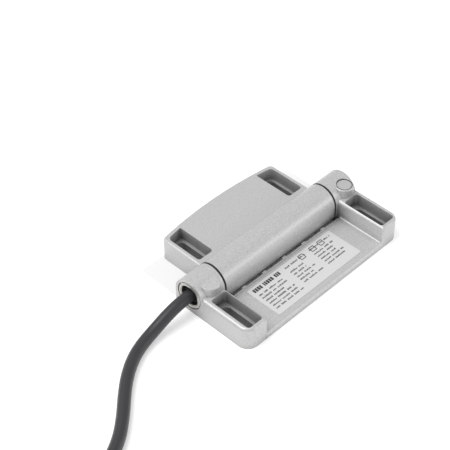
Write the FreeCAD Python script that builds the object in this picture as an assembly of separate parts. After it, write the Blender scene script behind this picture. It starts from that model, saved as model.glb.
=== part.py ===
import FreeCAD, Part
import math
import os

# Safety hinge switch: a two-leaf die-cast hinge with a switch inside its barrel.
# Row frame in millimetres: X along the hinge axis away from the cable, -Y over the front leaf,
# +Z up, origin on the mounting plane below the middle of the hinge axis.

Vec = FreeCAD.Vector

# Hinge
hinge_length = 110.0
axis_height = 10.0
knuckle_radius = 9.0
knuckle_length = 15.1
end_gap = 0.8

# Front leaf, the fixed casting
leaf_depth = 38.4
arm_width = 13.4
arm_height = 13.0
arm_corner_radius = 6.0
arm_inner_corner_radius = 1.6
arm_top_round = 1.8
floor_thickness = 3.4
floor_edge_round = 1.4
floor_step_round = 0.9
barrel_slit = 1.7
lip_height = 0.35
lip_width = 0.8
slit_rib_width = 1.8
slit_rib_depth = 0.7
slit_rib_pitch = 14.2
slit_rib_count = 5

# Rear leaf, the moving casting
rear_height = 12.6
rear_bow = 3.2
rear_corner_radius = 2.6
rear_top_round = 1.0
barrel_bottom = 1.2
barrel_toe_radius = 3.0
barrel_bore_radius = 6.6
rear_pad_start = 9.6

# Screw pockets and slots, the same in both leaves
pocket_width = 9.6
pocket_corner = 1.5
pocket_floor = 6.0
pocket_inner_rim = 1.2
pocket_end_rim = 2.2
pocket_hinge_side = 11.6
pocket_bow_clearance = 1.2
pocket_overcut = 5.0
slot_width = 6.4
slot_end_land = 2.4
snap_radius = 3.2
snap_depth = 0.7
snap_height = 2.2

# Round bosses at the knuckles
boss_radius = 5.0
boss_top = 18.0
left_boss_inset = 7.8
right_boss_inset = 6.2
boss_offset = 6.2
boss_chamfer = 0.8
plug_radius = 4.1
plug_thickness = 1.6
plug_sink = 0.2
lock_screw_radius = 2.0
lock_screw_length = 2.8
lock_screw_socket = 1.1
lock_screw_socket_depth = 1.6

# Journal, pin, bushes and seals on the hinge axis
journal_radius = 5.0
journal_bore = 3.7
journal_reach = 9.0
pin_radius = 4.2
pin_head_radius = 5.0
pin_head_length = 11.5
pin_reach = 6.2
bush_length = 6.0
running_fit = 0.04
gap_seal_radius = 8.3
gap_seal_slack = 0.08
gland_radius = 7.5
gland_bore = 5.4
gland_length = 4.0
gland_thread_radius = 6.2
gland_thread_length = 5.0
seal_length = 7.0

# Switch unit inside the barrel
housing_radius = 6.2
housing_wall = 1.1
spigot_length = 2.0
spigot_wall = 0.5
end_play = 0.3
cam_length = 7.0
cam_bore = 2.6
cam_travel = 3.0
cam_low = 1.2
cam_gap = 0.12
swing_deg = 180.0
ramp_run_out = 20.0
ramp_points = 23
follower_radius = 0.9
follower_pitch_radius = 4.1
follower_arm_thickness = 0.8
arm_clearance = 0.2
plunger_radius = 1.5
contact_block_length = 8.0
bridge_length = 1.0
bridge_half_width = 3.3
bridge_half_height = 2.1
rivet_radius = 0.9
rivet_length = 0.5
contact_gap = 0.1
contact_width = 2.0
contact_thickness = 0.6
contact_inner = 1.7
strip_clearance = 0.5
collar_length = 1.0
spring_radius = 2.2
spring_wire = 0.5
spring_turns = 6
spring_length = 12.0
terminal_length = 12.0
core_radius = 0.8
core_count = 4
core_pitch_radius = 1.7

# Label plate
label_length = 59.6
label_thickness = 0.2
label_corner = 0.8
label_front_margin = 3.8
label_rear_margin = 2.5

# Cable: 3 m lead, laid out beside the hinge and coiled
cable_diameter = 6.2
route = [
    (-50.0, 0.0, 10.0), (-60.0, 0.0, 10.0), (-69.0, -0.1, 8.0), (-78.0, -0.3, 4.6), (-87.0, -1.6, 3.1),
    (-95.5, -4.9, 3.1), (-104.5, -10.6, 3.1), (-113.0, -18.0, 3.1), (-121.5, -26.5, 3.1),
    (-131.5, -34.8, 3.1), (-144.0, -41.0, 3.1), (-159.0, -44.0, 3.1), (-176.0, -45.3, 3.1),
    (-195.0, -45.0, 3.1), (-214.0, -46.0, 3.1), (-232.5, -45.4, 3.1), (-251.0, -44.3, 3.1),
]
coil_mean_diameter = 76.0
coil_layers = 4
coil_columns = 3
tie_width = 4.0
tie_thickness = 1.0
tie_places = (0.0, 180.0)
tail_length = 34.0
bared_length = 22.0

# Worked-out places
half_length = hinge_length / 2
knuckle_face = half_length - knuckle_length
barrel_half = knuckle_face - end_gap
arm_face = half_length - arm_width
floor_rear = -knuckle_radius - barrel_slit
cable_radius = cable_diameter / 2


def vec(x, y, z):
    return Vec(x, y, z)


def box(x0, x1, y0, y1, z0, z1):
    return Part.makeBox(x1 - x0, y1 - y0, z1 - z0, vec(x0, y0, z0))


def rod(radius, x0, x1, y=0.0, z=axis_height):
    """Cylinder along X."""
    return Part.makeCylinder(radius, x1 - x0, vec(x0, y, z), vec(1, 0, 0))


def tube(outer, inner, x0, x1):
    return rod(outer, x0, x1).cut(rod(inner, x0 - 1, x1 + 1))


def post(radius, x, y, z0, z1):
    """Cylinder along Z."""
    return Part.makeCylinder(radius, z1 - z0, vec(x, y, z0), vec(0, 0, 1))


def fuse_all(first, rest):
    shape = first.fuse(rest) if rest else first
    return shape.removeSplitter()


def rounded_plan(x0, x1, y0, y1, radii):
    """Rectangle in plan with its own radius at each corner:
    (x0,y0), (x1,y0), (x1,y1), (x0,y1)."""
    corners = [(x0, y0, 1, 1), (x1, y0, -1, 1), (x1, y1, -1, -1), (x0, y1, 1, -1)]
    edges = []
    ends = []
    for index, ((x, y, sx, sy), r) in enumerate(zip(corners, radii)):
        along_x = vec(x + sx * r, y, 0)
        along_y = vec(x, y + sy * r, 0)
        first, last = (along_y, along_x) if index % 2 == 0 else (along_x, along_y)
        if r > 0:
            k = r * (1 - math.sqrt(0.5))
            edges.append(Part.Arc(first, vec(x + sx * k, y + sy * k, 0), last).toShape())
        ends.append((first, last))
    sides = []
    for index in range(4):
        start = ends[index][1]
        stop = ends[(index + 1) % 4][0]
        if start.distanceToPoint(stop) > 1e-6:
            sides.append(Part.LineSegment(start, stop).toShape())
    return Part.Wire(Part.__sortEdges__(edges + sides))


def prism(wire, z0, z1):
    face = Part.Face(wire)
    face.translate(vec(0, 0, z0))
    return face.extrude(vec(0, 0, z1 - z0))


def mirrored(shape):
    """The same piece at the other end of the hinge."""
    return shape.mirror(vec(0, 0, 0), vec(1, 0, 0))


def edges_where(shape, test):
    return [edge for edge in shape.Edges if test(edge.BoundBox)]


def screw_pocket(x0, x1, y0, y1, hinge_side):
    """Space of one screw pocket: open well, slot through the floor and snap relief.
    hinge_side is -1 or +1, the sign of Y towards the hinge."""
    well = prism(rounded_plan(x0, x1, y0, y1, [pocket_corner] * 4), pocket_floor, arm_height + pocket_overcut)
    middle = (x0 + x1) / 2
    r = slot_width / 2
    low = y0 + slot_end_land + r
    high = y1 - slot_end_land - r
    slot = box(middle - r, middle + r, low, high, -1, pocket_floor + 1)
    ends = [post(r, middle, y, -1, pocket_floor + 1) for y in (low, high)]
    slot = slot.fuse(ends)
    wall = y1 if hinge_side > 0 else y0
    relief = post(snap_radius, middle, wall - hinge_side * (snap_radius - snap_depth),
                  pocket_floor, pocket_floor + snap_height)
    return well.fuse([slot, relief])


def knuckle(x0, x1):
    """D-shaped end knuckle: round over the axis, straight down to the mounting plane."""
    r = knuckle_radius
    top = rod(r, x0, x1)
    foot = box(x0, x1, -r, r, 0, axis_height)
    return top.fuse(foot).removeSplitter()


def arm():
    """Right-hand arm of the front leaf with its rounded rim, before the pocket is cut."""
    outline = rounded_plan(arm_face, half_length, -leaf_depth, 0,
                           [arm_inner_corner_radius, arm_corner_radius, 0, 0])
    block = prism(outline, 0, arm_height)
    rim = edges_where(block, lambda b: b.ZMin > arm_height - 0.01 and b.XMax > arm_face + 0.01
                      and b.YMin < -1.0 and b.YMax < 0.01)
    return block.makeFillet(arm_top_round, rim)


def front_pocket():
    x0 = arm_face + pocket_inner_rim
    return screw_pocket(x0, x0 + pocket_width, -leaf_depth + pocket_end_rim, -pocket_hinge_side, 1)


def floor_plate():
    """Thin plate between the arms, with a rounded front edge and a low lip beside the barrel."""
    plate = box(-arm_face - 1, arm_face + 1, -leaf_depth, floor_rear, 0, floor_thickness)
    front = edges_where(plate, lambda b: b.ZMin > floor_thickness - 0.01 and b.YMax < -leaf_depth + 0.01)
    plate = plate.makeFillet(floor_edge_round, front)
    reach = arm_face - 2 * floor_step_round
    lip = box(-reach, reach, floor_rear - lip_width, floor_rear, floor_thickness - 1,
              floor_thickness + lip_height)
    return plate.fuse(lip)


def slit_ribs():
    """Low ribs on the edge of the plate, in the slit beside the barrel."""
    ribs = []
    first = -slit_rib_pitch * (slit_rib_count - 1) / 2
    for index in range(slit_rib_count):
        x = first + index * slit_rib_pitch
        ribs.append(box(x - slit_rib_width / 2, x + slit_rib_width / 2, floor_rear - 0.5,
                        floor_rear + slit_rib_depth, 0, floor_thickness))
    return ribs


def boss(x):
    body = post(boss_radius, x, -boss_offset, axis_height, boss_top)
    rim = edges_where(body, lambda b: b.ZMin > boss_top - 0.01)
    return body.makeChamfer(boss_chamfer / 2, rim)


def plug_seat(x):
    return post(plug_radius, x, -boss_offset, boss_top - plug_thickness, boss_top + 1)


def lock_screw_bottom():
    """Height at which the lock screw meets the flank of the pin's head."""
    reach = boss_offset - lock_screw_radius
    return axis_height + math.sqrt(pin_head_radius ** 2 - reach ** 2)


def front_leaf():
    left_boss_x = -half_length + left_boss_inset
    right_boss_x = half_length - right_boss_inset
    right_arm = arm()
    right_knuckle = knuckle(knuckle_face, half_length)
    solids = [mirrored(right_arm), right_knuckle, mirrored(right_knuckle), floor_plate()]
    solids += slit_ribs() + [boss(left_boss_x), boss(right_boss_x)]
    body = fuse_all(right_arm, solids)
    steps = edges_where(body, lambda b: abs(b.ZMin - floor_thickness) < 0.01 and b.ZLength < 0.01
                        and b.XLength < 0.01 and abs(abs(b.XMin) - arm_face) < 0.01
                        and b.YLength > leaf_depth / 3)
    body = body.makeFillet(floor_step_round, steps)
    pocket = front_pocket()
    end = half_length
    cuts = [pocket, mirrored(pocket),
            rod(gland_radius + running_fit, -end - 1, -end + gland_length),
            rod(gland_thread_radius, -end, -end + gland_length + gland_thread_length),
            rod(journal_radius, -end, -knuckle_face + 1),
            rod(pin_head_radius, knuckle_face - 1, knuckle_face + pin_head_length),
            plug_seat(right_boss_x),
            post(lock_screw_radius, right_boss_x, -boss_offset, axis_height, boss_top)]
    return body.cut(cuts)


def barrel_profile():
    """Section of the moving leaf's barrel and plate in the YZ plane: a round top, a flat front
    face with a rounded toe, and the plate behind."""
    r = knuckle_radius
    toe = barrel_toe_radius
    h = axis_height
    top_y = math.sqrt(r ** 2 - (rear_height - h) ** 2)
    toe_mid = toe * (1 - math.sqrt(0.5))
    over = math.radians(90 + math.degrees(math.atan2(rear_height - h, top_y)) / 2)
    points = {
        "rear_top": vec(0, leaf_depth + 5, rear_height),
        "junction": vec(0, top_y, rear_height),
        "crown": vec(0, r * math.cos(over), h + r * math.sin(over)),
        "front": vec(0, -r, h),
        "toe_top": vec(0, -r, barrel_bottom + toe),
        "toe_mid": vec(0, -r + toe_mid, barrel_bottom + toe_mid),
        "toe_end": vec(0, -r + toe, barrel_bottom),
        "step_top": vec(0, rear_pad_start, barrel_bottom),
        "step_foot": vec(0, rear_pad_start, 0),
        "rear_foot": vec(0, leaf_depth + 5, 0),
    }
    p = points
    edges = [
        Part.LineSegment(p["rear_top"], p["junction"]).toShape(),
        Part.Arc(p["junction"], p["crown"], p["front"]).toShape(),
        Part.LineSegment(p["front"], p["toe_top"]).toShape(),
        Part.Arc(p["toe_top"], p["toe_mid"], p["toe_end"]).toShape(),
        Part.LineSegment(p["toe_end"], p["step_top"]).toShape(),
        Part.LineSegment(p["step_top"], p["step_foot"]).toShape(),
        Part.LineSegment(p["step_foot"], p["rear_foot"]).toShape(),
        Part.LineSegment(p["rear_foot"], p["rear_top"]).toShape(),
    ]
    return Part.Wire(edges)


def bowed_plan(half, depth, bow, radius, front):
    """Plan outline of the rear leaf with its bowed rear edge and rounded rear corners."""
    side = depth - bow
    arc_radius = (half ** 2 + bow ** 2) / (2 * bow)
    centre_y = depth - arc_radius
    inner = arc_radius - radius
    cx = half - radius
    cy = centre_y + math.sqrt(inner ** 2 - cx ** 2)
    lean = math.atan2(cy - centre_y, cx)
    on_arc = vec(arc_radius * math.cos(lean), centre_y + arc_radius * math.sin(lean), 0)
    mid = vec(cx + radius * math.cos(lean / 2), cy + radius * math.sin(lean / 2), 0)
    on_side = vec(half, cy, 0)
    flip = lambda v: vec(-v.x, v.y, v.z)
    return Part.Wire([
        Part.LineSegment(vec(-half, front, 0), vec(half, front, 0)).toShape(),
        Part.LineSegment(vec(half, front, 0), on_side).toShape(),
        Part.Arc(on_side, mid, on_arc).toShape(),
        Part.Arc(on_arc, vec(0, depth, 0), flip(on_arc)).toShape(),
        Part.Arc(flip(on_arc), flip(mid), flip(on_side)).toShape(),
        Part.LineSegment(flip(on_side), vec(-half, front, 0)).toShape(),
    ])


def rear_pocket():
    """Right-hand pocket of the rear leaf; its rear wall follows the bowed edge."""
    x1 = barrel_half - pocket_end_rim
    x0 = x1 - pocket_width
    inside = bowed_plan(x1, leaf_depth - pocket_end_rim, rear_bow, rear_corner_radius, -leaf_depth)
    limit = prism(inside, -pocket_overcut, arm_height + 2 * pocket_overcut)
    far = leaf_depth - pocket_end_rim - pocket_bow_clearance
    whole = screw_pocket(x0, x1, pocket_hinge_side, far, -1)
    return whole.common(limit)


def rear_leaf():
    section = Part.Face(barrel_profile())
    section.translate(vec(-barrel_half, 0, 0))
    body = section.extrude(vec(2 * barrel_half, 0, 0))
    plan = prism(bowed_plan(barrel_half, leaf_depth, rear_bow, rear_corner_radius, -knuckle_radius - 5),
                 -1, 2 * knuckle_radius + axis_height)
    body = body.common(plan)
    rims = edges_where(body, lambda b: b.ZMin > rear_height - 0.01 and b.ZMax < rear_height + 0.01
                       and b.YMax > knuckle_radius + 2)
    body = body.makeFillet(rear_top_round, rims)
    pocket = rear_pocket()
    return body.cut([pocket, mirrored(pocket), rod(barrel_bore_radius, -barrel_half - 1, barrel_half + 1)])


def gland_ring():
    """Bright screwed ring that closes the cable end of the hinge."""
    end = -half_length
    ring = rod(gland_radius, end, end + gland_length)
    front = edges_where(ring, lambda b: b.XMax < end + 0.01)
    ring = ring.makeChamfer(0.5, front)
    thread = rod(gland_thread_radius, end + gland_length, end + gland_length + gland_thread_length)
    return ring.fuse(thread).cut(rod(gland_bore, end - 2, end + gland_length + gland_thread_length + 1))


def cable_seal():
    start = -half_length
    return tube(gland_bore, cable_radius, start, start + seal_length)


def left_journal():
    """Hollow journal: pressed in the knuckle, carries the leaf and lets the cable cores in."""
    start = -half_length + gland_length + gland_thread_length
    return tube(journal_radius, journal_bore, start, -barrel_half + journal_reach)


def right_pin():
    head = rod(pin_head_radius, knuckle_face, knuckle_face + pin_head_length)
    shank = rod(pin_radius, barrel_half - pin_reach, knuckle_face)
    return head.fuse(shank).removeSplitter()


def left_bush():
    return tube(barrel_bore_radius, journal_radius + running_fit, -barrel_half, -barrel_half + bush_length)


def right_bush():
    return tube(barrel_bore_radius, pin_radius + running_fit, barrel_half - bush_length, barrel_half)


def gap_seal(side):
    inner = journal_radius + running_fit if side < 0 else pin_radius + running_fit
    x0 = side * (barrel_half + gap_seal_slack)
    x1 = side * (knuckle_face - gap_seal_slack)
    return tube(gap_seal_radius, inner, min(x0, x1), max(x0, x1))


def cam_right():
    return barrel_half - bush_length - end_play


def cam_left():
    return cam_right() - cam_length


def cam_face(turn_deg):
    """X of the cam's ramp at one turn of the leaf: it comes forward evenly as the leaf opens."""
    return cam_left() + cam_low + cam_travel * (1 - turn_deg / swing_deg)


def follower_tip():
    return cam_face(0) - cam_gap


def arm_right():
    return cam_left() - arm_clearance


def arm_left():
    return arm_right() - follower_arm_thickness


def housing_left():
    return -barrel_half + journal_reach


def housing_right():
    return arm_left() - cam_travel - arm_clearance


def helicoid_tool():
    """Space that the ramp leaves free in front of the cam: everything left of a helicoid."""
    rows = []
    spread = swing_deg + 2 * ramp_run_out
    for radius in (cam_bore - 1.0, barrel_bore_radius + 1.0):
        row = []
        for index in range(ramp_points):
            turn = -ramp_run_out + spread * index / (ramp_points - 1)
            angle = math.radians(90 - turn)
            row.append(vec(cam_face(turn), radius * math.cos(angle), axis_height + radius * math.sin(angle)))
        rows.append(row)
    surface = Part.BSplineSurface()
    surface.interpolate(rows)
    return surface.toShape().extrude(vec(-2 * cam_length, 0, 0))


def cam_ring():
    """Ring pressed into the moving barrel, with a helical ramp on its end."""
    ring = tube(barrel_bore_radius, cam_bore, cam_left(), cam_right())
    return ring.cut(helicoid_tool())


def guide_pin_z():
    return axis_height + follower_pitch_radius


def switch_housing():
    """Insulating sleeve: spigot in the journal, room for the contacts, guide holes at the right."""
    left = housing_left()
    right = housing_right()
    spigot = rod(journal_bore - running_fit, left - spigot_length, left + housing_wall)
    shell = rod(housing_radius, left, right).fuse(spigot)
    room = rod(housing_radius - housing_wall, left + housing_wall, right - housing_wall)
    mouth = rod(journal_bore - spigot_wall, left - spigot_length - 1, left + housing_wall + 1)
    guide = rod(plunger_radius + running_fit, right - 2 * housing_wall, right + 1)
    key = rod(follower_radius + running_fit, right - 2 * housing_wall, right + 1, 0, guide_pin_z())
    return shell.cut([room, mouth, guide, key])


def terminal_right():
    return housing_left() + housing_wall + terminal_length


def collar_left():
    return terminal_right() + spring_length


def bridge_left():
    return collar_left() + collar_length


def bridge_right():
    return bridge_left() + bridge_length


def contact_right():
    """Right-hand face of the fixed contacts, against the contact block."""
    return bridge_right() + rivet_length + contact_gap + contact_thickness


def plunger():
    """Sliding plunger with spring collar, follower arm and guide pin."""
    stem = rod(plunger_radius, bridge_left(), arm_right())
    collar = rod(spring_radius + spring_wire, collar_left(), bridge_left())
    spigot = rod(spring_radius - 1.5 * spring_wire, collar_left() - collar_length, collar_left())
    half = follower_radius
    arm_plate = box(arm_left(), arm_right(), -half, half, axis_height, guide_pin_z())
    ball_x = follower_tip() - follower_radius
    finger = rod(follower_radius, housing_right() - 1.5 * housing_wall, ball_x, 0, guide_pin_z())
    ball = Part.makeSphere(follower_radius, vec(ball_x, 0, guide_pin_z()))
    end = rod(follower_radius, arm_left(), arm_right(), 0, guide_pin_z())
    return fuse_all(stem, [collar, spigot, arm_plate, end, finger, ball])


def contact_bridge():
    """Moving contact bridge on the plunger's stem, with a rivet at each end."""
    h = axis_height
    plate = box(bridge_left(), bridge_right(), -bridge_half_width, bridge_half_width,
                h - bridge_half_height, h + bridge_half_height)
    place = bridge_half_width - rivet_radius
    rivets = [rod(rivet_radius, bridge_right(), bridge_right() + rivet_length, y) for y in (-place, place)]
    return fuse_all(plate, rivets).cut(rod(plunger_radius, bridge_left() - 1, bridge_right() + 1))


def strip_outer():
    return bridge_half_width + strip_clearance + contact_thickness


def fixed_contact(side):
    """Fixed contact: a foot in front of the bridge and a long strip back to the terminal block."""
    h = axis_height
    half = contact_width / 2
    right = contact_right()
    outer = strip_outer()
    foot = box(right - contact_thickness, right, contact_inner, outer, h - half, h + half)
    left = terminal_right() - terminal_length + 1
    strip = box(left, right, outer - contact_thickness, outer, h - half, h + half)
    shape = fuse_all(foot, [strip])
    return shape if side > 0 else shape.mirror(vec(0, 0, 0), vec(0, 1, 0))


def contact_block():
    """Insulating block that backs the fixed contacts and guides the plunger."""
    left = contact_right()
    block = rod(housing_radius - housing_wall, left, left + contact_block_length)
    guide = rod(plunger_radius + running_fit, left - 1, left + contact_block_length + 1)
    return block.cut(guide)


def terminal_block():
    """Block between the contact strips where the cable's cores end."""
    left = housing_left() + housing_wall
    right = terminal_right()
    r = housing_radius - housing_wall
    block = rod(r, left, right)
    flat = strip_outer() - contact_thickness
    return block.common(box(left, right, -flat, flat, axis_height - r, axis_height + r))


def contact_spring():
    """Coil spring between the terminal block and the plunger's collar: each half turn is half a ring,
    tilted to climb half a pitch."""
    start = terminal_right() + spring_wire
    climb = (collar_left() - start - spring_wire) / (2 * spring_turns)
    halves = []
    for index in range(2 * spring_turns):
        side = 1 if index % 2 == 0 else -1
        here = vec(start + index * climb, 0, axis_height + side * spring_radius)
        there = vec(start + (index + 1) * climb, 0, axis_height - side * spring_radius)
        across = vec(0, side, 0)
        wire_end = Part.Face(Part.Wire(Part.makeCircle(spring_wire / 2, here, across)))
        halves.append(wire_end.revolve((here + there) / 2, (there - here).cross(across), 180))
    return fuse_all(halves[0], halves[1:])


def cable_cores():
    """Cores of the cable, from the end of its jacket through the journal to the terminal block."""
    start = route[0][0]
    stop = housing_left() + housing_wall
    cores = []
    for index in range(core_count):
        turn = math.radians(45 + 360 * index / core_count)
        y = core_pitch_radius * math.cos(turn)
        z = axis_height + core_pitch_radius * math.sin(turn)
        cores.append(rod(core_radius, start, stop, y, z))
    return Part.makeCompound(cores)


def boss_plug():
    x = half_length - right_boss_inset
    top = boss_top - plug_sink
    plug = post(plug_radius - running_fit, x, -boss_offset, boss_top - plug_thickness, top)
    rim = edges_where(plug, lambda b: b.ZMin > top - 0.01)
    return plug.makeChamfer(plug_sink, rim)


def pin_lock_screw():
    """Grub screw under the plug; its end bears on the flank of the pin's head."""
    x = half_length - right_boss_inset
    low = lock_screw_bottom() + running_fit
    high = low + lock_screw_length
    screw = post(lock_screw_radius - running_fit, x, -boss_offset, low, high)
    points = []
    for index in range(7):
        turn = math.radians(60 * index)
        points.append(vec(x + lock_screw_socket * math.cos(turn),
                          -boss_offset + lock_screw_socket * math.sin(turn), 0))
    socket = prism(Part.makePolygon(points), high - lock_screw_socket_depth, high + 1)
    return screw.cut(socket)


def label_plate():
    half = label_length / 2
    outline = rounded_plan(-half, half, -leaf_depth + label_front_margin, floor_rear - label_rear_margin,
                           [label_corner] * 4)
    return prism(outline, floor_thickness, floor_thickness + label_thickness)


def rounded_route(points, radius):
    """Round tube along straight runs joined by tangent arcs as large as the runs allow."""
    pts = [vec(*p) for p in points]
    edges = []
    at = pts[0]
    for before, corner, after in zip(pts, pts[1:], pts[2:]):
        run_in = corner - before
        run_out = after - corner
        shorter = min(run_in.Length, run_out.Length)
        into = vec(*run_in).normalize()
        out = vec(*run_out).normalize()
        turn = into.getAngle(out)
        trim = 0.45 * shorter
        arc_radius = trim / math.tan(turn / 2)
        print("route corner", [round(c, 1) for c in corner], "radius", round(arc_radius, 1),
              "turn", round(math.degrees(turn), 1), "run", round(run_in.Length, 1))
        first = corner - into * trim
        last = corner + out * trim
        inward = (out - into).normalize()
        middle = corner + inward * (arc_radius / math.cos(turn / 2) - arc_radius)
        edges.append(Part.LineSegment(at, first).toShape())
        edges.append(Part.Arc(first, middle, last).toShape())
        at = last
    edges.append(Part.LineSegment(at, pts[-1]).toShape())
    path = Part.Wire(edges)
    ring = Part.Wire(Part.makeCircle(radius, pts[0], pts[1] - pts[0]))
    solid = path.makePipeShell([ring], True, False)
    print("route length", round(path.Length, 1), "volume ratio",
          round(solid.Volume / (math.pi * radius ** 2 * path.Length), 4))
    return solid


def outer_turn_radius():
    return coil_mean_diameter / 2 + (coil_columns - 1) * cable_diameter / 2


def coil_centre():
    """Centre of the coil, right of the route's last run, which is tangent to the outer turn."""
    (x0, y0, z0), (x1, y1, z1) = route[-2:]
    run = math.hypot(x1 - x0, y1 - y0)
    across = outer_turn_radius() / run
    return x1 + (y1 - y0) * across, y1 - (x1 - x0) * across


def coil_section(grow, bottom):
    """Rounded section of the coil, half of the revolved ring, in the XZ plane."""
    width = coil_columns * cable_diameter
    height = coil_layers * cable_diameter
    mid = coil_mean_diameter / 2
    r = cable_radius
    flat = rounded_plan(mid - width / 2 - grow, mid + width / 2 + grow, bottom, height + grow, [r] * 4)
    flat.rotate(vec(0, 0, 0), vec(1, 0, 0), 90)
    return Part.Face(flat)


def coil_ring(grow, bottom, sweep_deg, start_deg):
    x, y = coil_centre()
    ring = coil_section(grow, bottom).revolve(vec(0, 0, 0), vec(0, 0, 1), sweep_deg)
    ring.rotate(vec(0, 0, 0), vec(0, 0, 1), start_deg)
    ring.translate(vec(x, y, 0))
    return ring


def coil_tie(turn_deg):
    """Cable tie round the bundle of turns."""
    sweep = math.degrees(tie_width / (coil_mean_diameter / 2))
    outside = coil_ring(tie_thickness, 0, sweep, turn_deg)
    return outside.cut(coil_ring(0, tie_thickness, sweep + 2, turn_deg - 1))


def tail_points():
    """Free end of the cable: it leaves the coil's outer turn along +X and lies on the surface."""
    x, y = coil_centre()
    y0 = y + outer_turn_radius()
    step = tail_length / 3
    return [(x, y0, cable_radius), (x + step, y0 - 0.3, cable_radius),
            (x + 2 * step, y0 - 1.6, cable_radius), (x + 3 * step, y0 - 3.6, cable_radius)]


def tail_cores():
    """Bared cores at the free end, fanned out a little."""
    points = tail_points()
    before = vec(*points[-2])
    end = vec(*points[-1])
    ahead = (end - before).normalize()
    side = vec(-ahead.y, ahead.x, 0)
    cores = []
    for index in range(core_count):
        offset = (index - (core_count - 1) / 2) * 2.1 * core_radius * 0.62
        lift = core_radius + 0.3 if index % 2 else core_radius + 2.2
        start = vec(end.x, end.y, lift) + side * offset
        fan = (ahead + side * (offset * 0.09)).normalize()
        cores.append(Part.makeCylinder(core_radius, bared_length, start, fan))
    return Part.makeCompound(cores)


def build_all():
    coil = coil_ring(0, 0, 360, 0)
    ties = Part.makeCompound([coil_tie(turn) for turn in tie_places])
    return {
        "front_leaf": front_leaf(),
        "rear_leaf": rear_leaf(),
        "gland_ring": gland_ring(),
        "cable_seal": cable_seal(),
        "left_journal": left_journal(),
        "right_pin": right_pin(),
        "left_bush": left_bush(),
        "right_bush": right_bush(),
        "left_gap_seal": gap_seal(-1),
        "right_gap_seal": gap_seal(1),
        "cam_ring": cam_ring(),
        "switch_housing": switch_housing(),
        "plunger": plunger(),
        "contact_bridge": contact_bridge(),
        "contact_spring": contact_spring(),
        "front_contact": fixed_contact(-1),
        "rear_contact": fixed_contact(1),
        "contact_block": contact_block(),
        "terminal_block": terminal_block(),
        "cable_cores": cable_cores(),
        "boss_plug": boss_plug(),
        "pin_lock_screw": pin_lock_screw(),
        "label_plate": label_plate(),
        "cable": rounded_route(route, cable_radius),
        "cable_coil": coil.cut(ties),
        "coil_ties": ties,
        "cable_tail": rounded_route(tail_points(), cable_radius),
        "tail_cores": tail_cores(),
    }


def export(nodes):
    os.makedirs("parts", exist_ok=True)
    for name, shape in nodes.items():
        print(name, len(shape.Solids), "solid", shape.isValid(), round(shape.Volume, 1))
        shape.exportStep(os.path.join("parts", name + ".step"))


export(build_all())
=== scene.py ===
"""Looks of the safety hinge switch: finishes, printed label, cable with its coil, and a plain studio."""

import math
import random

import bmesh
import bpy
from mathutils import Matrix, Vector


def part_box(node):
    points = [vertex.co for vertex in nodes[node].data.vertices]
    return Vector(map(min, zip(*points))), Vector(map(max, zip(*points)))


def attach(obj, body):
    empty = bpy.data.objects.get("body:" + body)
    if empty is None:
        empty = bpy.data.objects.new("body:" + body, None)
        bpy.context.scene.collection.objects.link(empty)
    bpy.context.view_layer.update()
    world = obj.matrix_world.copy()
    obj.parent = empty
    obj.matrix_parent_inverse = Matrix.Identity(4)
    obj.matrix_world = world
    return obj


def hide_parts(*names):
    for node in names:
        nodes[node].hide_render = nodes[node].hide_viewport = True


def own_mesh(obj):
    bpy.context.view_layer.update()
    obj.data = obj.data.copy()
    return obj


bl_info = {
    "name": "Safety hinge switch",
    "version": (1, 0, 0),
    "blender": (4, 5, 0),
    "location": "3D View > Sidebar > Hinge switch",
    "description": "Finishes, printed label, cable and studio for a safety hinge switch",
    "category": "Object",
}

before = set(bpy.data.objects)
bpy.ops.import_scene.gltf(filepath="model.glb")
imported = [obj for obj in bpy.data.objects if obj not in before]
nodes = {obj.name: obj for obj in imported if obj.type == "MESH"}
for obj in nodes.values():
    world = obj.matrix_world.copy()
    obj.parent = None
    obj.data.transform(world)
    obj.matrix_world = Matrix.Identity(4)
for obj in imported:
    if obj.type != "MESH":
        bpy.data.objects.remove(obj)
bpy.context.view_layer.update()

MM = 0.001

# Nodes by the finish that they carry
COATED_NODES = ("front_leaf", "rear_leaf")
STEEL_NODES = ("left_journal", "right_pin", "pin_lock_screw")
BRONZE_NODES = ("left_bush", "right_bush")
RUBBER_NODES = ("left_gap_seal", "right_gap_seal")
HOUSING_NODES = ("switch_housing", "contact_block", "terminal_block", "plunger", "cam_ring")
CONTACT_NODES = ("contact_bridge", "front_contact", "rear_contact")

# Places taken from the solids, in metres
AXIS_HEIGHT = 0.010
HINGE_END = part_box("front_leaf")[0][0]
LABEL_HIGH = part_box("label_plate")[1]
PLUG_LOW, PLUG_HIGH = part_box("boss_plug")

# Cable route from the gland to the coil, in metres: the solid cable lies along the same points
ROUTE = (
    (-0.0500, 0.0, 0.0100), (-0.0600, 0.0, 0.0100), (-0.0690, -0.0001, 0.0080), (-0.0780, -0.0003, 0.0046),
    (-0.0870, -0.0016, 0.0031), (-0.0955, -0.0049, 0.0031), (-0.1045, -0.0106, 0.0031),
    (-0.1130, -0.0180, 0.0031), (-0.1215, -0.0265, 0.0031), (-0.1315, -0.0348, 0.0031),
    (-0.1440, -0.0410, 0.0031), (-0.1590, -0.0440, 0.0031), (-0.1760, -0.0453, 0.0031),
    (-0.1950, -0.0450, 0.0031), (-0.2140, -0.0460, 0.0031), (-0.2325, -0.0454, 0.0031),
    (-0.2510, -0.0443, 0.0031),
)

# Order in which the turns fill the coil's section, as (column from the inside, layer from the floor)
COIL_SLOTS = ((2, 0), (1, 0), (0, 0), (0, 1), (0, 2), (0, 3), (1, 3), (2, 3), (2, 2), (1, 2), (1, 1), (2, 1))
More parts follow.
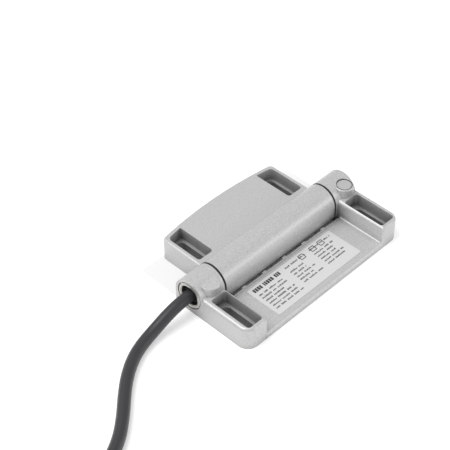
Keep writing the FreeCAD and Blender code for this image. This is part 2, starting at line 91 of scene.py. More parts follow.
# The coil turns clockwise from the route's last run, and the free end leaves it at the far side
COIL_START_DEG = math.degrees(math.atan2(ROUTE[-1][1] - ROUTE[-2][1], ROUTE[-1][0] - ROUTE[-2][0])) + 90
COIL_TURNS = 11
COIL_SWEEP_DEG = COIL_START_DEG - 90 + COIL_TURNS * 360
COIL_STEP_DEG = 15.0
# Where the first change of place begins, how long each one takes, and how much earlier in its round each
# next one begins
COIL_FIRST_CHANGE_DEG = 290.0
COIL_CHANGE_DEG = 60.0
COIL_STAGGER_DEG = 30.0
# Free end, as (thirds of its length, millimetres towards the centre, share of the height left)
TAIL_STEPS = ((0, 0.0, 1.0), (1, 0.3, 0.72), (2, 1.6, 0.2), (3, 3.6, 0.0))

# Bands of painted shade on the coat, as terms (axis, middle, reach, both ends) in millimetres: the edges
# beside the two end gaps, which darken the gaps, and the crease where the plate meets the barrel
PAINTED_SHADE_BANDS = (
    (("X", 39.5, 0.62, True), ("Y", 0.0, 9.1, False)),
    (("Y", 8.72, 0.13, False), ("Z", 12.6, 0.3, False)),
)
PAINTED_SHADE_SHARE = 0.85
# How far round a point the walls count for the painted shade in recesses, in millimetres
PAINTED_SHADE_REACH = 14.0
# Tool marks of turned metal, in millimetres, for a wave texture that repeats 20 times in a unit at scale 1
TOOL_MARK_PITCH = 0.35
WAVE_REPEATS = 20
# Small ribs in the slit beside the barrel: middles along X, and their box across, in millimetres
RIB_MIDDLES = (-28.4, -14.2, 0.0, 14.2, 28.4)
RIB_LENGTH = 2.4
RIB_BOX = ((-10.75, 3.0), (-9.8, 3.85))

# Sections of the gland's ring and seal, as (x from the hinge's end, radius) in millimetres
GLAND_SECTION = (
    (-0.15, 6.6), (0.15, 7.05), (0.9, 7.05), (0.9, 7.5), (4.0, 7.5), (4.0, 6.2), (9.0, 6.2), (9.0, 5.4),
    (0.4, 5.4), (-0.15, 5.8),
)
SEAL_SECTION = ((2.0, 4.2), (2.2, 5.35), (7.0, 5.35), (7.0, 3.15), (2.6, 3.15))
# Dark seam round the plug, from its edge and its top face, in millimetres
SEAM_INSIDE, SEAM_OUTSIDE = 0.18, 0.16
SEAM_DEPTH, SEAM_RISE = 0.3, 0.23
SHARP_ANGLE = math.radians(30)

# Print on the label, in millimetres: columns as (left, right, rows), heights of the bold and the fine rows,
# how far below the label's rear edge the first row and the fine rows stand, and the gaps as shares of height
PRINT_SEED = 5
PRINT_RISE = 0.04
PRINT_SINK = 0.05
PRINT_COLUMNS = ((-27.5, -8.0, 7), (-5.5, 8.5, 6), (12.0, 27.0, 6))
BOLD_HEIGHT, FINE_HEIGHT = 2.3, 1.05
FIRST_ROW_DROP, FINE_ROW_DROP, FINE_ROW_PITCH = 2.6, 4.0, 2.25
BOLD_GAP, FINE_GAP = 0.14, 0.22
BOLD_SPACE, FINE_SPACE = 0.45, 0.9
GROUP_LENGTHS = (2.0, 6.5)
MARK_WIDTHS = (0.3, 0.55)
MARK_HEIGHTS = (0.55, 1.0)
ROW_SHARES = (0.6, 1.0)
# Small squares in the first row: middles along X, drop, half side and half line width, in millimetres
SQUARE_MIDDLES = (6.5, 14.5, 20.5)
SQUARE_DROP, SQUARE_HALF, SQUARE_LINE = 3.0, 1.5, 0.2

# Stage, in metres: the floor's glow stops under the part, where |x| and |y| are below these, a painted shade
# beneath it
GLOW_STRENGTH = 0.35
FLOOR_SHADE_REACH = (("X", 0.053), ("Y", 0.036))
KEY_SIZE, KEY_PLACE = (0.9, 0.9), (-0.5, 0.35, 1.1)
STRIP_SIZE, STRIP_PLACE = (0.75, 0.16), (0.47, -0.70, 0.32)
SENSOR_WIDTH = 36.0
NEAR_CLIP, FAR_CLIP = 0.01, 20.0


def linear(code):
    """Linear RGBA of an sRGB hex colour such as C4C4C8."""
    channels = [int(code[i:i + 2], 16) / 255 for i in (0, 2, 4)]
    return [c / 12.92 if c <= 0.04045 else ((c + 0.055) / 1.055) ** 2.4 for c in channels] + [1.0]


def colour_property(name, description, code):
    """A colour that the panel shows, from its hex code."""
    return bpy.props.FloatVectorProperty(
        name=name, description=description, subtype="COLOR", size=4, min=0, max=1, default=linear(code))


def size_property(name, description, millimetres):
    """A length that the panel shows, from its size in millimetres."""
    return bpy.props.FloatProperty(
        name=name, description=description, default=millimetres * MM, min=0, unit="LENGTH", precision=5)


class HingeSwitchFinish(bpy.types.PropertyGroup):
    """Colours and grain sizes of the finishes."""

    coat_colour: colour_property("Powder coat", "Silver grey of the powder-coated castings", "D2D2D1")
    coat_shade: colour_property("Powder coat, dark grain", "Darker grains of the powder coat", "B9B9B9")
    # Dark colour of the painted shade deep in the recesses, beside the end gaps and in the crease by the
    # barrel
    painted_shade_colour: colour_property("Thin coat", "Coat where it lies thin, deep in the recesses", "4A4A4B")
    coat_grain: size_property("Coat grain", "Size of one grain of the powder coat", 0.55)
    nickel_colour: colour_property("Nickel", "Bright nickel of the gland ring", "BEBDB9")
    steel_colour: colour_property("Steel", "Turned steel of pins and screws", "B4B5B8")
    bronze_colour: colour_property("Bronze", "Sintered bronze of the bushes", "A9793F")
    rubber_colour: colour_property("Rubber", "Black nitrile rubber of the seals", "0C0C0D")
    housing_colour: colour_property("Housing plastic", "Glass-filled nylon of the switch unit", "2E3033")
    contact_colour: colour_property("Contact metal", "Silver-plated contact strips", "D9C9A8")
    foil_colour: colour_property("Label foil", "Matt silver-white foil of the label", "D6D6D6")
    ink_colour: colour_property("Label ink", "Dark grey print on the label", "3A3A3C")
    jacket_colour: colour_property("Cable jacket", "Black PVC jacket of the cable", "37373A")
    tie_colour: colour_property("Ties", "Black nylon cable ties", "232325")


class HingeSwitchCable(bpy.types.PropertyGroup):
    """Sizes of the cable and its coil."""

    diameter: size_property("Diameter", "Outside diameter of the cable", 6.2)
    length: size_property("Length", "Whole length of the lead", 3000)
    coil_mean_radius: size_property("Coil radius", "Radius of the coil at the middle of its turns", 38)
    layer_rise: size_property("Layer rise", "Height of one layer of turns above the last", 6.2)
    tail_length: size_property("Tail", "Length of the free end beyond the coil", 34)


class HingeSwitchStage(bpy.types.PropertyGroup):
    """Camera, lights and floor."""

    camera_azimuth: bpy.props.FloatProperty(
        name="Camera azimuth", description="Direction of view, 0 along +Y",
        default=math.radians(-45.596), subtype="ANGLE")
    camera_elevation: bpy.props.FloatProperty(
        name="Camera elevation", description="Height of the view above the horizon",
        default=math.radians(43.335), subtype="ANGLE")
    camera_place: bpy.props.FloatVectorProperty(
        name="Camera place", description="Where the camera stands, in the frame of the part",
        default=(-0.3415, -0.30417, 0.44974), subtype="TRANSLATION", unit="LENGTH")
    camera_lens: bpy.props.FloatProperty(
        name="Lens", description="Focal length on a 36 mm sensor", default=103.11, unit="CAMERA")
    floor_size: size_property("Floor", "Side of the square floor", 6000)
    key_power: bpy.props.FloatProperty(
        name="Key light", description="Power of the large soft light", default=10.0, unit="POWER")
    strip_power: bpy.props.FloatProperty(
        name="Strip light", description="Power of the low light that draws the band along the barrel",
        default=1.3, unit="POWER")
    sky_strength: bpy.props.FloatProperty(
        name="Room light", description="Strength of the even room light", default=0.6)


def add_node(tree, kind, sockets=None, output=None, **settings):
    """One shader node with its settings, socket values and links: the node, or one of its outputs."""
    node = tree.nodes.new(kind)
    for name, value in settings.items():
        setattr(node, name, value)
    for key, value in (sockets or {}).items():
        if isinstance(value, bpy.types.NodeSocket):
            tree.links.new(value, node.inputs[key])
        else:
            node.inputs[key].default_value = value
    return node if output is None else node.outputs[output]


def new_material(name, **shader_values):
    """A material with a Principled shader: the material, its tree, the shader and the place in metres."""
    material = bpy.data.materials.new(name)
    material.use_nodes = True
    tree = material.node_tree
    tree.nodes.clear()
    shader = add_node(tree, "ShaderNodeBsdfPrincipled", shader_values)
    add_node(tree, "ShaderNodeOutputMaterial", {"Surface": shader.outputs["BSDF"]})
    place = add_node(tree, "ShaderNodeTexCoord", output="Object")
    return material, tree, shader, place


def shaded(colour, share):
    """The same colour with a share of its light."""
    return [channel * share for channel in colour[:3]] + [1.0]


def band_mask(tree, axes, terms):
    """1 inside a band and 0 outside it."""
    inside = None
    for axis, middle, reach, both_ends in terms:
        value = axes.outputs[axis]
        if both_ends:
            value = add_node(tree, "ShaderNodeMath", {0: value}, "Value", operation="ABSOLUTE")
        hit = add_node(tree, "ShaderNodeMath", {0: value, 1: middle * MM, 2: reach * MM}, "Value",
                       operation="COMPARE")
        inside = hit if inside is None else add_node(
            tree, "ShaderNodeMath", {0: inside, 1: hit}, "Value", operation="MULTIPLY")
    return inside


def painted_recess_shade(tree, place):
    """Share of painted shade: deep between walls, and in the shade bands beside the end gaps and in the
    crease.
    """
    openness = add_node(tree, "ShaderNodeAmbientOcclusion", {
        "Distance": PAINTED_SHADE_REACH * MM}, "AO", samples=8)
    shadowed = add_node(tree, "ShaderNodeMapRange", {
        "Value": openness, "From Min": 0.62, "From Max": 0.15, "To Max": PAINTED_SHADE_SHARE}, "Result")
    axes = add_node(tree, "ShaderNodeSeparateXYZ", {"Vector": place})
    for terms in PAINTED_SHADE_BANDS:
        share = add_node(tree, "ShaderNodeMath", {0: band_mask(tree, axes, terms), 1: PAINTED_SHADE_SHARE}, "Value",
                         operation="MULTIPLY")
        shadowed = add_node(tree, "ShaderNodeMath", {0: shadowed, 1: share}, "Value", operation="MAXIMUM")
    return shadowed


def powder_coat(finish, with_painted_shade=True):
    """Zinc die casting, powder coated silver grey. The fused powder with its metal flake leaves an even
    satin skin with a fine sandy grain; the larger soft mottling of 3.5 mm is the orange peel of the coat.
    Shade is painted into its colour deep in pockets and slits, at the joint faces beside the end gaps and in
    the crease beside the barrel, which look darker for it, unless the painted shade is left out."""
    name = "powder_coated_zinc_with_painted_shade" if with_painted_shade else "powder_coated_zinc_without_painted_shade"
    material, tree, shader, place = new_material(name, Metallic=0.35, Roughness=0.42)
    grain = add_node(tree, "ShaderNodeTexNoise", {
        "Vector": place, "Scale": 1 / finish.coat_grain, "Detail": 3.0, "Roughness": 0.6}, "Fac")
    peel = add_node(tree, "ShaderNodeTexNoise", {"Vector": place, "Scale": 1 / (3.5 * MM)}, "Fac")
    sharp = add_node(tree, "ShaderNodeMapRange", {
        "Value": grain, "From Min": 0.35, "From Max": 0.65}, "Result")
    speckled = add_node(tree, "ShaderNodeMix", {
        0: sharp, 6: list(finish.coat_shade), 7: list(finish.coat_colour)}, 2, data_type="RGBA")
    # Painted shade: the dark colour is mixed in deep in recesses and in the shade bands
    if with_painted_shade:
        speckled = add_node(tree, "ShaderNodeMix", {
            0: painted_recess_shade(tree, place), 6: speckled, 7: list(finish.painted_shade_colour)}, 2, data_type="RGBA")
    tree.links.new(speckled, shader.inputs["Base Color"])
    gloss = add_node(tree, "ShaderNodeMapRange", {
        "Value": grain, "From Min": 0.3, "From Max": 0.7, "To Min": 0.34, "To Max": 0.5}, "Result")
    tree.links.new(gloss, shader.inputs["Roughness"])
    fine = add_node(tree, "ShaderNodeBump", {
        "Height": grain, "Distance": 0.03 * MM, "Strength": 0.5}, "Normal")
    soft = add_node(tree, "ShaderNodeBump", {
        "Height": peel, "Distance": 0.03 * MM, "Strength": 0.4, "Normal": fine}, "Normal")
    tree.links.new(soft, shader.inputs["Normal"])
    return material


def turned_metal(name, colour, roughness):
    """Turned pins, rings, bushes and contacts: metal with the fine marks of the tool round the hinge axis,
    and soft stains of 1.4 mm where the shine varies. The marks are drawn coarser than a real lathe
    leaves them, because those would not show."""
    material, tree, shader, place = new_material(name, Metallic=1.0, Roughness=roughness)
    stain = add_node(tree, "ShaderNodeTexNoise", {
        "Vector": place, "Scale": 1 / (1.4 * MM), "Detail": 3.0}, "Fac")
    tinted = add_node(tree, "ShaderNodeMix", {
        0: stain, 6: shaded(colour, 0.8), 7: list(colour)}, 2, data_type="RGBA")
    tree.links.new(tinted, shader.inputs["Base Color"])
    gloss = add_node(tree, "ShaderNodeMapRange", {
        "Value": stain, "From Min": 0.3, "From Max": 0.7,
        "To Min": roughness * 0.8, "To Max": roughness * 1.3}, "Result")
    tree.links.new(gloss, shader.inputs["Roughness"])
    marks = add_node(tree, "ShaderNodeTexWave", {
        "Vector": place, "Scale": 1 / (WAVE_REPEATS * TOOL_MARK_PITCH * MM), "Distortion": 0.5}, "Fac",
        wave_type="RINGS", rings_direction="X")
    grooves = add_node(tree, "ShaderNodeBump", {
        "Height": marks, "Distance": 0.004 * MM, "Strength": 0.5}, "Normal")
    tree.links.new(grooves, shader.inputs["Normal"])
    return material


def moulded_plastic(name, colour, roughness, dark_share=0.85):
    """Moulded or extruded plastic and rubber: an even colour with an eroded mould texture of 0.5 mm, and a
    shine that varies over 3 mm."""
    material, tree, shader, place = new_material(name, Roughness=roughness)
    texture = add_node(tree, "ShaderNodeTexNoise", {
        "Vector": place, "Scale": 1 / (0.5 * MM), "Detail": 3.0}, "Fac")
    wear = add_node(tree, "ShaderNodeTexNoise", {"Vector": place, "Scale": 1 / (3 * MM)}, "Fac")
    tinted = add_node(tree, "ShaderNodeMix", {
        0: texture, 6: shaded(colour, dark_share), 7: list(colour)}, 2, data_type="RGBA")
    tree.links.new(tinted, shader.inputs["Base Color"])
    gloss = add_node(tree, "ShaderNodeMapRange", {
        "Value": wear, "From Min": 0.3, "From Max": 0.7,
        "To Min": roughness * 0.85, "To Max": roughness * 1.15}, "Result")
    tree.links.new(gloss, shader.inputs["Roughness"])
    pits = add_node(tree, "ShaderNodeBump", {
        "Height": texture, "Distance": 0.02 * MM, "Strength": 0.4}, "Normal")
    tree.links.new(pits, shader.inputs["Normal"])
    return material


def give_material(obj, material):
    """Puts the material in every slot of the object."""
    if not obj.data.materials:
        obj.data.materials.append(material)
    for slot in obj.material_slots:
        slot.material = material


def finish_nodes(names, material):
    """Gives the solids of these names their material."""
    for name in names:
        give_material(nodes[name], material)


def place_piece(name, data, material, replaced=()):
    """A new object on the fixed leaf, with its material and the solids that it stands for."""
    piece = bpy.data.objects.new(name, data)
    bpy.context.scene.collection.objects.link(piece)
    give_material(piece, material)
    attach(piece, "front")
    if replaced:
        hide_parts(*replaced)
    return piece


def mesh_piece(name, build, material, replaced=()):
    """A new piece from a bmesh that build fills."""
    mesh = bpy.data.meshes.new(name)
    shape = bmesh.new()
    build(shape)
    shape.to_mesh(mesh)
    shape.free()
    return place_piece(name, mesh, material, replaced)


def add_block(shape, low, high):
    """Closed box between two corners."""
    centre = (Vector(low) + Vector(high)) / 2
    size = Vector(high) - Vector(low)
    made = bmesh.ops.create_cube(shape, size=1.0)
    bmesh.ops.scale(shape, vec=size, verts=made["verts"])
    bmesh.ops.translate(shape, vec=centre, verts=made["verts"])


def add_ring(shape, section, sides):
    """Closed ring of faces through the points that section gives for each angle."""
    rings = []
    for index in range(sides):
        angle = 2 * math.pi * index / sides
        rings.append([shape.verts.new(point) for point in section(math.cos(angle), math.sin(angle))])
    count = len(rings[0])
    for here, there in zip(rings, rings[1:] + rings[:1]):
        for corner in range(count):
            after = (corner + 1) % count
            shape.faces.new((here[corner], here[after], there[after], there[corner]))
    bmesh.ops.recalc_face_normals(shape, faces=shape.faces)


def add_axis_ring(shape, profile):
    """Ring round the hinge axis, from a section of (x from the hinge's end, radius) in millimetres."""
    add_ring(shape, lambda across, up: [
        (HINGE_END + x * MM, radius * MM * across, AXIS_HEIGHT + radius * MM * up)
        for x, radius in profile], sides=96)


def add_plug_seam(shape):
    """Thin dark ring where the plug meets its boss."""
    centre_x, centre_y = ((low + high) / 2 for low, high in zip(PLUG_LOW[:2], PLUG_HIGH[:2]))
    radius = (PLUG_HIGH[0] - PLUG_LOW[0]) / 2
    inner, outer = radius - SEAM_INSIDE * MM, radius + SEAM_OUTSIDE * MM
    low, high = PLUG_HIGH[2] - SEAM_DEPTH * MM, PLUG_HIGH[2] + SEAM_RISE * MM
    corners = ((inner, low), (outer, low), (outer, high), (inner, high))
    add_ring(shape, lambda across, up: [
        (centre_x + reach * across, centre_y + reach * up, z) for reach, z in corners], sides=64)


def add_rib_tips(shape):
    """Tips of the ribs in the slit beside the barrel, in the coat without painted shade, so that they show
    lit.
    """
    (low_y, low_z), (high_y, high_z) = RIB_BOX
    for middle in RIB_MIDDLES:
        add_block(shape, ((middle - RIB_LENGTH / 2) * MM, low_y * MM, low_z * MM),
                  ((middle + RIB_LENGTH / 2) * MM, high_y * MM, high_z * MM))


class HINGE_SWITCH_OT_castings(bpy.types.Operator):
    """Powder coat on the two die-cast leaves"""

    bl_idname = "hinge_switch.castings"
    bl_label = "Finish the castings"

    def execute(self, context):
        finish = context.scene.hinge_switch_finish
        finish_nodes(COATED_NODES, powder_coat(finish))
        # The rib tips take the coat without painted shade, so that they stay lit in the shaded slit
        mesh_piece("slit_rib_tips", add_rib_tips, powder_coat(finish, with_painted_shade=False))
        return {"FINISHED"}


class HINGE_SWITCH_OT_fittings(bpy.types.Operator):
    """Gland ring, seals, journal, pin, bushes, plug and lock screw"""

    bl_idname = "hinge_switch.fittings"
    bl_label = "Finish the fittings"

    def execute(self, context):
        finish = context.scene.hinge_switch_finish
        # Matt black rubber, which gives hardly any highlight
        rubber = moulded_plastic("moulded_nitrile_rubber", finish.rubber_colour, 0.75)
        # Nickel over turned brass: a clear shine, slightly warm
        nickel = turned_metal("nickel_plated_brass", finish.nickel_colour, 0.3)
        # Ground steel: cooler and as smooth
        finish_nodes(STEEL_NODES, turned_metal("turned_steel", finish.steel_colour, 0.3))
        # Pressed and sintered bronze: a dull golden brown with open pores
        finish_nodes(BRONZE_NODES, turned_metal("sintered_bronze", finish.bronze_colour, 0.42))
        finish_nodes(RUBBER_NODES, rubber)
        # Plug coloured to match the coat, smoother and without metal flake
        finish_nodes(("boss_plug",), moulded_plastic("moulded_grey_polyamide", finish.coat_shade, 0.5, 0.9))
        pieces = (
            mesh_piece("gland_ring_face", lambda shape: add_axis_ring(shape, GLAND_SECTION), nickel,
                       ("gland_ring",)),
            mesh_piece("cable_seal_lip", lambda shape: add_axis_ring(shape, SEAL_SECTION), rubber,
                       ("cable_seal",)),
            mesh_piece("plug_seam", add_plug_seam, rubber),
        )
        for piece in pieces:
            for face in piece.data.polygons:
                face.use_smooth = True
            piece.data.set_sharp_from_angle(angle=SHARP_ANGLE)
        return {"FINISHED"}


class HINGE_SWITCH_OT_switch_unit(bpy.types.Operator):
    """Plastic and contact metal of the switch unit inside the barrel, and its spring, which the plunger
    presses together"""

    bl_idname = "hinge_switch.switch_unit"
    bl_label = "Finish the switch unit"

    def execute(self, context):
        finish = context.scene.hinge_switch_finish
        # Nylon with glass fibre: dark and half matt
        finish_nodes(HOUSING_NODES, moulded_plastic("glass_filled_nylon", finish.housing_colour, 0.5))
        # Silver over stamped copper: bright and warm
        finish_nodes(CONTACT_NODES, turned_metal("silver_plated_copper", finish.contact_colour, 0.25))
        spring = place_piece(
            "contact_spring_wire", nodes["contact_spring"].data.copy(),
            turned_metal("drawn_spring_steel", finish.steel_colour, 0.3),
            ("contact_spring",))
        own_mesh(spring)
        return {"FINISHED"}


def add_marks(shape, low_x, high_x, row_y, bold, draw):
    """One row of short upright marks in groups, like print too small to read."""
    height = (BOLD_HEIGHT if bold else FINE_HEIGHT) * MM
    gap = (BOLD_GAP if bold else FINE_GAP) * height
    space = (BOLD_SPACE if bold else FINE_SPACE) * height
    base = LABEL_HIGH[2] - PRINT_SINK * MM
    top = LABEL_HIGH[2] + PRINT_RISE * MM
    x = low_x
    while x < high_x:
        group_end = min(high_x, x + draw.uniform(*GROUP_LENGTHS) * MM)
        while x < group_end:
            width = draw.uniform(*MARK_WIDTHS) * height
            rise = height if bold else draw.uniform(*MARK_HEIGHTS) * height
            add_block(shape, (x, row_y - height / 2, base), (x + width, row_y - height / 2 + rise, top))
            x += width + gap
        x += space


def add_square(shape, x, y):
    """A small square drawn with four bars."""
    half, line = SQUARE_HALF * MM, SQUARE_LINE * MM
    low, high = LABEL_HIGH[2], LABEL_HIGH[2] + PRINT_RISE * MM
    for side in (-half, half):
        add_block(shape, (x - half, y + side - line, low), (x + half, y + side + line, high))
        add_block(shape, (x + side - line, y - half, low), (x + side + line, y + half, high))


def add_print(shape):
    """Rows of plain marks in three columns, the first row of the first column bold, and three small
    squares. It is a pattern, with no letters."""
    draw = random.Random(PRINT_SEED)
    for column, (first, last, rows) in enumerate(PRINT_COLUMNS):
        for row in range(rows):
            drop = FINE_ROW_DROP + FINE_ROW_PITCH * row if row else FIRST_ROW_DROP
            reach = first + (last - first) * (draw.uniform(*ROW_SHARES) if row else 1.0)
            add_marks(shape, first * MM, reach * MM, LABEL_HIGH[1] - drop * MM, column == row == 0, draw)
    for middle in SQUARE_MIDDLES:
        add_square(shape, middle * MM, LABEL_HIGH[1] - SQUARE_DROP * MM)


class HINGE_SWITCH_OT_label(bpy.types.Operator):
    """Foil label with a plain printed pattern of marks"""

    bl_idname = "hinge_switch.label"
    bl_label = "Make the label"

    def execute(self, context):
        finish = context.scene.hinge_switch_finish
        # Silver-white polyester film with a soft even sheen, and dull ink on it
        foil = moulded_plastic("matt_polyester_foil", finish.foil_colour, 0.42, 0.95)
        finish_nodes(("label_plate",), foil)
        ink = moulded_plastic("printed_label_ink", finish.ink_colour, 0.5)
        mesh_piece("label_marks", add_print, ink)
        return {"FINISHED"}


def smooth_share(value):
    """0 before 0, 1 after 1, and a smooth change between."""
    value = min(1.0, max(0.0, value))
    return value * value * (3 - 2 * value)


def coil_centre(cable):
    """Centre of the coil, square to the route's last run at the radius of its outer turn."""
    (x0, y0, _), (x1, y1, _) = ROUTE[-2:]
    across = (cable.coil_mean_radius + cable.diameter) / math.hypot(x1 - x0, y1 - y0)
    return x1 + (y1 - y0) * across, y1 - (x1 - x0) * across


def coil_points(cable):
    """Points along the turns: each turn keeps its place in the section for most of a round, and then
    crosses to the next place before it would meet the turn that lies there."""
    centre_x, centre_y = coil_centre(cable)
    count = round(COIL_SWEEP_DEG / COIL_STEP_DEG)
    points = []
    for index in range(1, count):
        turn = COIL_SWEEP_DEG * index / count
        column, layer = COIL_SLOTS[0]
        for change, (here, there) in enumerate(zip(COIL_SLOTS, COIL_SLOTS[1:])):
            begin = COIL_FIRST_CHANGE_DEG + change * (360 - COIL_STAGGER_DEG)
            share = smooth_share((turn - begin) / COIL_CHANGE_DEG)
            column += share * (there[0] - here[0])
            layer += share * (there[1] - here[1])
        radius = cable.coil_mean_radius + (column - 1) * cable.diameter
        height = cable.diameter / 2 + layer * cable.layer_rise
        angle = math.radians(COIL_START_DEG - turn)
        points.append((centre_x + radius * math.cos(angle), centre_y + radius * math.sin(angle), height))
    return points


def tail_points(cable):
    """The free end: it leaves the outer turn along +X and comes down to the surface."""
    centre_x, centre_y = coil_centre(cable)
    start_y = centre_y + cable.coil_mean_radius + cable.diameter
    low = cable.diameter / 2
    high = low + COIL_SLOTS[-1][1] * cable.layer_rise
    return [(centre_x + thirds * cable.tail_length / 3, start_y - inwards * MM, low + share * (high - low))
            for thirds, inwards, share in TAIL_STEPS]


def cable_curve(cable, points):
    """One NURBS spline through the route, the coil and the tail, as thick as the cable."""
    curve = bpy.data.curves.new("cable_line", "CURVE")
    curve.dimensions = "3D"
    spline = curve.splines.new("NURBS")
    spline.points.add(len(points) - 1)
    for target, point in zip(spline.points, points):
        target.co = (*point, 1.0)
    spline.order_u = 3
    spline.use_endpoint_u = True
    spline.resolution_u = 6
    curve.bevel_depth = cable.diameter / 2
    curve.bevel_resolution = 6
    curve.use_fill_caps = True
    return curve


class HINGE_SWITCH_OT_cable(bpy.types.Operator):
    """Cable from the gland to its coil, with ties and bared cores"""

    bl_idname = "hinge_switch.cable"
    bl_label = "Make the cable"

    def execute(self, context):
        cable = context.scene.hinge_switch_cable
        finish = context.scene.hinge_switch_finish
        points = list(ROUTE) + coil_points(cable) + tail_points(cable)
        # Soft PVC, extruded: dark grey with a broad low highlight
        lead = place_piece(
            "cable_lead", cable_curve(cable, points),
            moulded_plastic("extruded_pvc_jacket", finish.jacket_colour, 0.42, 0.75),
            ("cable", "cable_coil", "cable_tail"))
        finish_nodes(("coil_ties",), moulded_plastic("moulded_nylon_tie", finish.tie_colour, 0.35))
        finish_nodes(("cable_cores", "tail_cores"), moulded_plastic("core_pvc", finish.foil_colour, 0.4))
        return {"FINISHED"}


def add_floor(stage):
    """White floor: it keeps the object's shadow, and shows white to the camera and in reflections, save
    under the part, where the glow is left out as painted shade.
    """
    bpy.ops.mesh.primitive_plane_add(size=stage.floor_size, location=(0, 0, 0))
    floor = bpy.context.object
    floor.name = "studio_floor"
    material = bpy.data.materials.new("white_paper_floor")
    material.use_nodes = True
    tree = material.node_tree
    tree.nodes.clear()
    paper = add_node(tree, "ShaderNodeBsdfDiffuse", {"Color": linear("F2F2F2")}).outputs["BSDF"]
    glow = add_node(tree, "ShaderNodeEmission", {
        "Color": linear("FFFFFF"), "Strength": GLOW_STRENGTH}).outputs["Emission"]
    rays = add_node(tree, "ShaderNodeLightPath")
    seen = add_node(tree, "ShaderNodeMath", {
        0: rays.outputs["Is Camera Ray"], 1: rays.outputs["Is Glossy Ray"]}, "Value", operation="MAXIMUM")
    seen = add_node(tree, "ShaderNodeMath", {
        0: seen, 1: rays.outputs["Is Transmission Ray"]}, "Value", operation="MAXIMUM")
    place = add_node(tree, "ShaderNodeSeparateXYZ", {
        "Vector": add_node(tree, "ShaderNodeTexCoord", output="Object")})
    # Painted shade under the part: the glow is left out inside this box
    outside = []
    for axis, reach in FLOOR_SHADE_REACH:
        away = add_node(tree, "ShaderNodeMath", {0: place.outputs[axis]}, "Value", operation="ABSOLUTE")
        outside.append(add_node(tree, "ShaderNodeMath", {0: away, 1: reach}, "Value",
                                operation="GREATER_THAN"))
    clear = add_node(tree, "ShaderNodeMath", {0: outside[0], 1: outside[1]}, "Value", operation="MAXIMUM")
    seen = add_node(tree, "ShaderNodeMath", {0: seen, 1: clear}, "Value", operation="MULTIPLY")
    both = add_node(tree, "ShaderNodeAddShader", {0: paper, 1: glow}).outputs[0]
    shown = add_node(tree, "ShaderNodeMixShader", {0: seen, 1: paper, 2: both})
    add_node(tree, "ShaderNodeOutputMaterial", {"Surface": shown.outputs[0]})
    give_material(floor, material)


def add_sky(stage):
    """Even room light that the camera sees as white."""
    world = bpy.data.worlds.new("studio_room")
    bpy.context.scene.world = world
    world.use_nodes = True
    tree = world.node_tree
    tree.nodes.clear()
    room = add_node(tree, "ShaderNodeBackground", {
        "Color": linear("FFFFFF"), "Strength": stage.sky_strength})
    white = add_node(tree, "ShaderNodeBackground", {"Color": linear("FFFFFF"), "Strength": 1.0})
    rays = add_node(tree, "ShaderNodeLightPath")
    shown = add_node(tree, "ShaderNodeMixShader", {
        0: rays.outputs["Is Camera Ray"], 1: room.outputs[0], 2: white.outputs[0]})
    add_node(tree, "ShaderNodeOutputWorld", {"Surface": shown.outputs[0]})


def add_lamp(name, power, size, place):
    """Flat soft lamp that faces the part."""
    light = bpy.data.lights.new(name, "AREA")
    light.energy = power
    light.shape = "RECTANGLE"
    light.size, light.size_y = size
    lamp = bpy.data.objects.new(name, light)
    bpy.context.scene.collection.objects.link(lamp)
    lamp.location = place
    lamp.rotation_euler = (-Vector(place)).to_track_quat("-Z", "Y").to_euler()


def add_camera(stage):
    """Camera at the photograph's viewing angle."""
    data = bpy.data.cameras.new("camera")
    data.lens = stage.camera_lens
    data.sensor_width = SENSOR_WIDTH
    data.clip_start = NEAR_CLIP
    data.clip_end = FAR_CLIP
    camera = bpy.data.objects.new("camera", data)
    bpy.context.scene.collection.objects.link(camera)
    camera.location = stage.camera_place
    camera.rotation_euler = (math.pi / 2 - stage.camera_elevation, 0.0, stage.camera_azimuth)
    bpy.context.scene.camera = camera


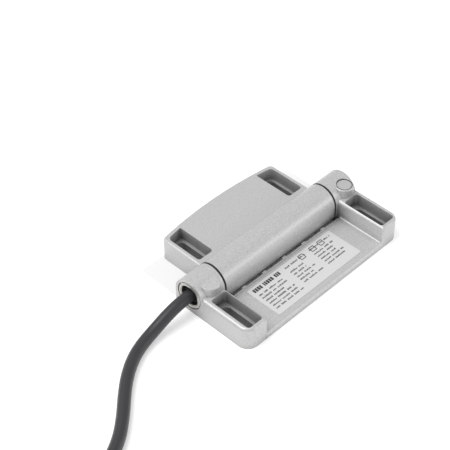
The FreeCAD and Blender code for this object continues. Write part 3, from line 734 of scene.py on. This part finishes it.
class HINGE_SWITCH_OT_stage(bpy.types.Operator):
    """White floor, soft studio light and the camera"""

    bl_idname = "hinge_switch.stage"
    bl_label = "Set the stage"

    def execute(self, context):
        stage = context.scene.hinge_switch_stage
        add_floor(stage)
        add_sky(stage)
        add_lamp("key_light", stage.key_power, KEY_SIZE, KEY_PLACE)
        add_lamp("strip_light", stage.strip_power, STRIP_SIZE, STRIP_PLACE)
        add_camera(stage)
        context.scene.view_settings.view_transform = "Standard"
        return {"FINISHED"}


class HINGE_SWITCH_PT_panel(bpy.types.Panel):
    """The part's pieces and settings"""

    bl_label = "Hinge switch"
    bl_idname = "HINGE_SWITCH_PT_panel"
    bl_space_type = "VIEW_3D"
    bl_region_type = "UI"
    bl_category = "Hinge switch"

    def draw(self, context):
        for group in (context.scene.hinge_switch_finish, context.scene.hinge_switch_cable,
                      context.scene.hinge_switch_stage):
            column = self.layout.column()
            for name in group.__annotations__:
                column.prop(group, name)
        for operator in OPERATORS:
            self.layout.operator(operator.bl_idname)


OPERATORS = (
    HINGE_SWITCH_OT_castings,
    HINGE_SWITCH_OT_fittings,
    HINGE_SWITCH_OT_switch_unit,
    HINGE_SWITCH_OT_label,
    HINGE_SWITCH_OT_cable,
    HINGE_SWITCH_OT_stage,
)
GROUPS = {
    "hinge_switch_finish": HingeSwitchFinish,
    "hinge_switch_cable": HingeSwitchCable,
    "hinge_switch_stage": HingeSwitchStage,
}


def register():
    for group in GROUPS.values():
        bpy.utils.register_class(group)
    for operator in OPERATORS:
        bpy.utils.register_class(operator)
    bpy.utils.register_class(HINGE_SWITCH_PT_panel)
    for name, group in GROUPS.items():
        setattr(bpy.types.Scene, name, bpy.props.PointerProperty(type=group))


def unregister():
    for name in GROUPS:
        delattr(bpy.types.Scene, name)
    bpy.utils.unregister_class(HINGE_SWITCH_PT_panel)
    for operator in reversed(OPERATORS):
        bpy.utils.unregister_class(operator)
    for group in GROUPS.values():
        bpy.utils.unregister_class(group)


def main():
    register()
    bpy.ops.hinge_switch.castings()
    bpy.ops.hinge_switch.fittings()
    bpy.ops.hinge_switch.switch_unit()
    bpy.ops.hinge_switch.label()
    bpy.ops.hinge_switch.cable()
    bpy.ops.hinge_switch.stage()


if __name__ == "__main__":
    main()
